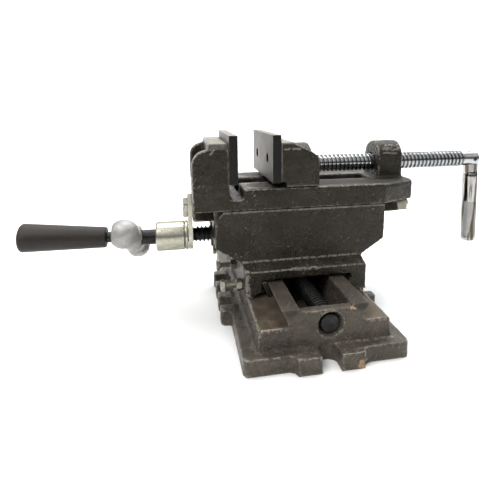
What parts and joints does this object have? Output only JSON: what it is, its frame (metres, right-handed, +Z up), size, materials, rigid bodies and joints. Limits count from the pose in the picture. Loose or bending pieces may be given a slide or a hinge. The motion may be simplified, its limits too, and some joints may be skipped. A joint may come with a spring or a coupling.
{
  "type": "bench vise",
  "caption": "Cross-slide drill-press vise: slotted cast base, saddle on a dovetail, jaw bed on a second dovetail, ball cranks and a clamp screw with a folding bar.",
  "frame": {"origin": "middle of the base's underside, on the plane it stands on", "axes": "+X from the fixed jaw towards the clamp screw's folding bar, +Y from the front slot to the lower crank, +Z up"},
  "size_m": [0.4745, 0.4004, 0.1789],
  "materials": {
    "base_iron": "rough sand-cast iron under a thin dark paint, ways machined",
    "cast_paint": "satin charcoal paint over a gritty sand casting",
    "jaw_steel": "ground jaw face with dark scale on its ends",
    "black_steel": "black oxide with a little oil",
    "bright_steel": "ground",
    "zinc": "bright zinc plate with a faint yellow-green tint",
    "bronze": "cast bronze, machined",
    "ball_aluminium": "cast aluminium, tumbled to a satin",
    "grip_plastic": "satin black",
    "chrome_plate": "bright chrome plate"
  },
  "bodies": {
    "base": {"base_casting": "base_iron", "lower_bracket": "zinc", "lower_bracket_screws": "zinc"},
    "lower_screw": {"lower_leadscrew": "black_steel", "lower_collar": "zinc", "lower_ball_crank": "ball_aluminium", "lower_crank_pin": "bright_steel", "lower_handle_spindle": "black_steel"},
    "lower_grip_body": {"lower_grip": "grip_plastic"},
    "saddle": {"saddle_casting": "cast_paint", "lower_gib": "bright_steel", "lower_gib_screws": "zinc", "lower_gib_locknuts": "zinc", "lower_nut": "bronze", "upper_nut": "bronze", "upper_gib": "bright_steel", "upper_gib_screws": "zinc", "upper_gib_locknuts": "zinc"},
    "vise_body": {"bed_casting": "cast_paint", "fixed_jaw_plate": "jaw_steel", "fixed_jaw_plate_screws": "black_steel", "upper_bracket": "zinc", "upper_bracket_screws": "zinc", "slide_end_cap": "zinc", "slide_end_cap_screws": "zinc"},
    "upper_screw": {"upper_leadscrew": "black_steel", "upper_collar": "zinc", "upper_ball_crank": "ball_aluminium", "upper_crank_pin": "bright_steel", "upper_handle_spindle": "black_steel"},
    "upper_grip_body": {"upper_grip": "grip_plastic"},
    "movable_jaw": {"movable_jaw_casting": "cast_paint", "movable_jaw_plate": "jaw_steel", "movable_jaw_plate_screws": "black_steel", "jaw_keeper": "bright_steel", "jaw_keeper_screws": "black_steel", "clamp_retainer_pin": "bright_steel"},
    "clamp": {"clamp_screw": "chrome_plate", "clamp_hinge_pin": "bright_steel"},
    "bar": {"handle_bar": "chrome_plate"}
  },
  "joints": [
    {"name": "y_crank_turn", "type": "hinge", "parent": "base", "child": "lower_screw", "pos_m": [0.0035, 0.118, 0.0313], "axis": [0, 1, 0], "range_deg": [-4501, 4501]},
    {"name": "y_grip_spin", "type": "hinge", "parent": "lower_screw", "child": "lower_grip_body", "pos_m": [-0.02939, 0.1795, 0.04314], "axis": [0, 0.9983, 0.0576], "continuous": true},
    {"name": "y_slide", "type": "slide", "parent": "base", "child": "saddle", "axis": [0, 1, 0], "range_m": [-0.05, 0.05]},
    {"name": "x_slide", "type": "slide", "parent": "saddle", "child": "vise_body", "axis": [1, 0, 0], "range_m": [-0.085, 0.016]},
    {"name": "x_crank_turn", "type": "hinge", "parent": "vise_body", "child": "upper_screw", "pos_m": [-0.1012, 0, 0.0768], "axis": [1, 0, 0], "range_deg": [-7651, 1441]},
    {"name": "x_grip_spin", "type": "hinge", "parent": "upper_screw", "child": "upper_grip_body", "pos_m": [-0.1627, -0.03289, 0.08864], "axis": [0.9983, 0, -0.0576], "continuous": true},
    {"name": "jaw_slide", "type": "slide", "parent": "vise_body", "child": "movable_jaw", "axis": [1, 0, 0], "range_m": [-0.031, 0.066]},
    {"name": "clamp_turn", "type": "hinge", "parent": "movable_jaw", "child": "clamp", "pos_m": [0.1, 0, 0.1456], "axis": [1, 0, 0], "range_deg": [-2481, 5281]},
    {"name": "bar_fold", "type": "hinge", "parent": "clamp", "child": "bar", "pos_m": [0.2116, 0, 0.1456], "axis": [0, -1, 0], "range_deg": [0, 173]}
  ],
  "couplings": [
    {"joint": "y_crank_turn", "follows": "y_slide", "rad_per_m": -1570.8},
    {"joint": "x_crank_turn", "follows": "x_slide", "rad_per_m": 1570.8},
    {"joint": "clamp_turn", "follows": "jaw_slide", "rad_per_m": 1396.3}
  ]
}
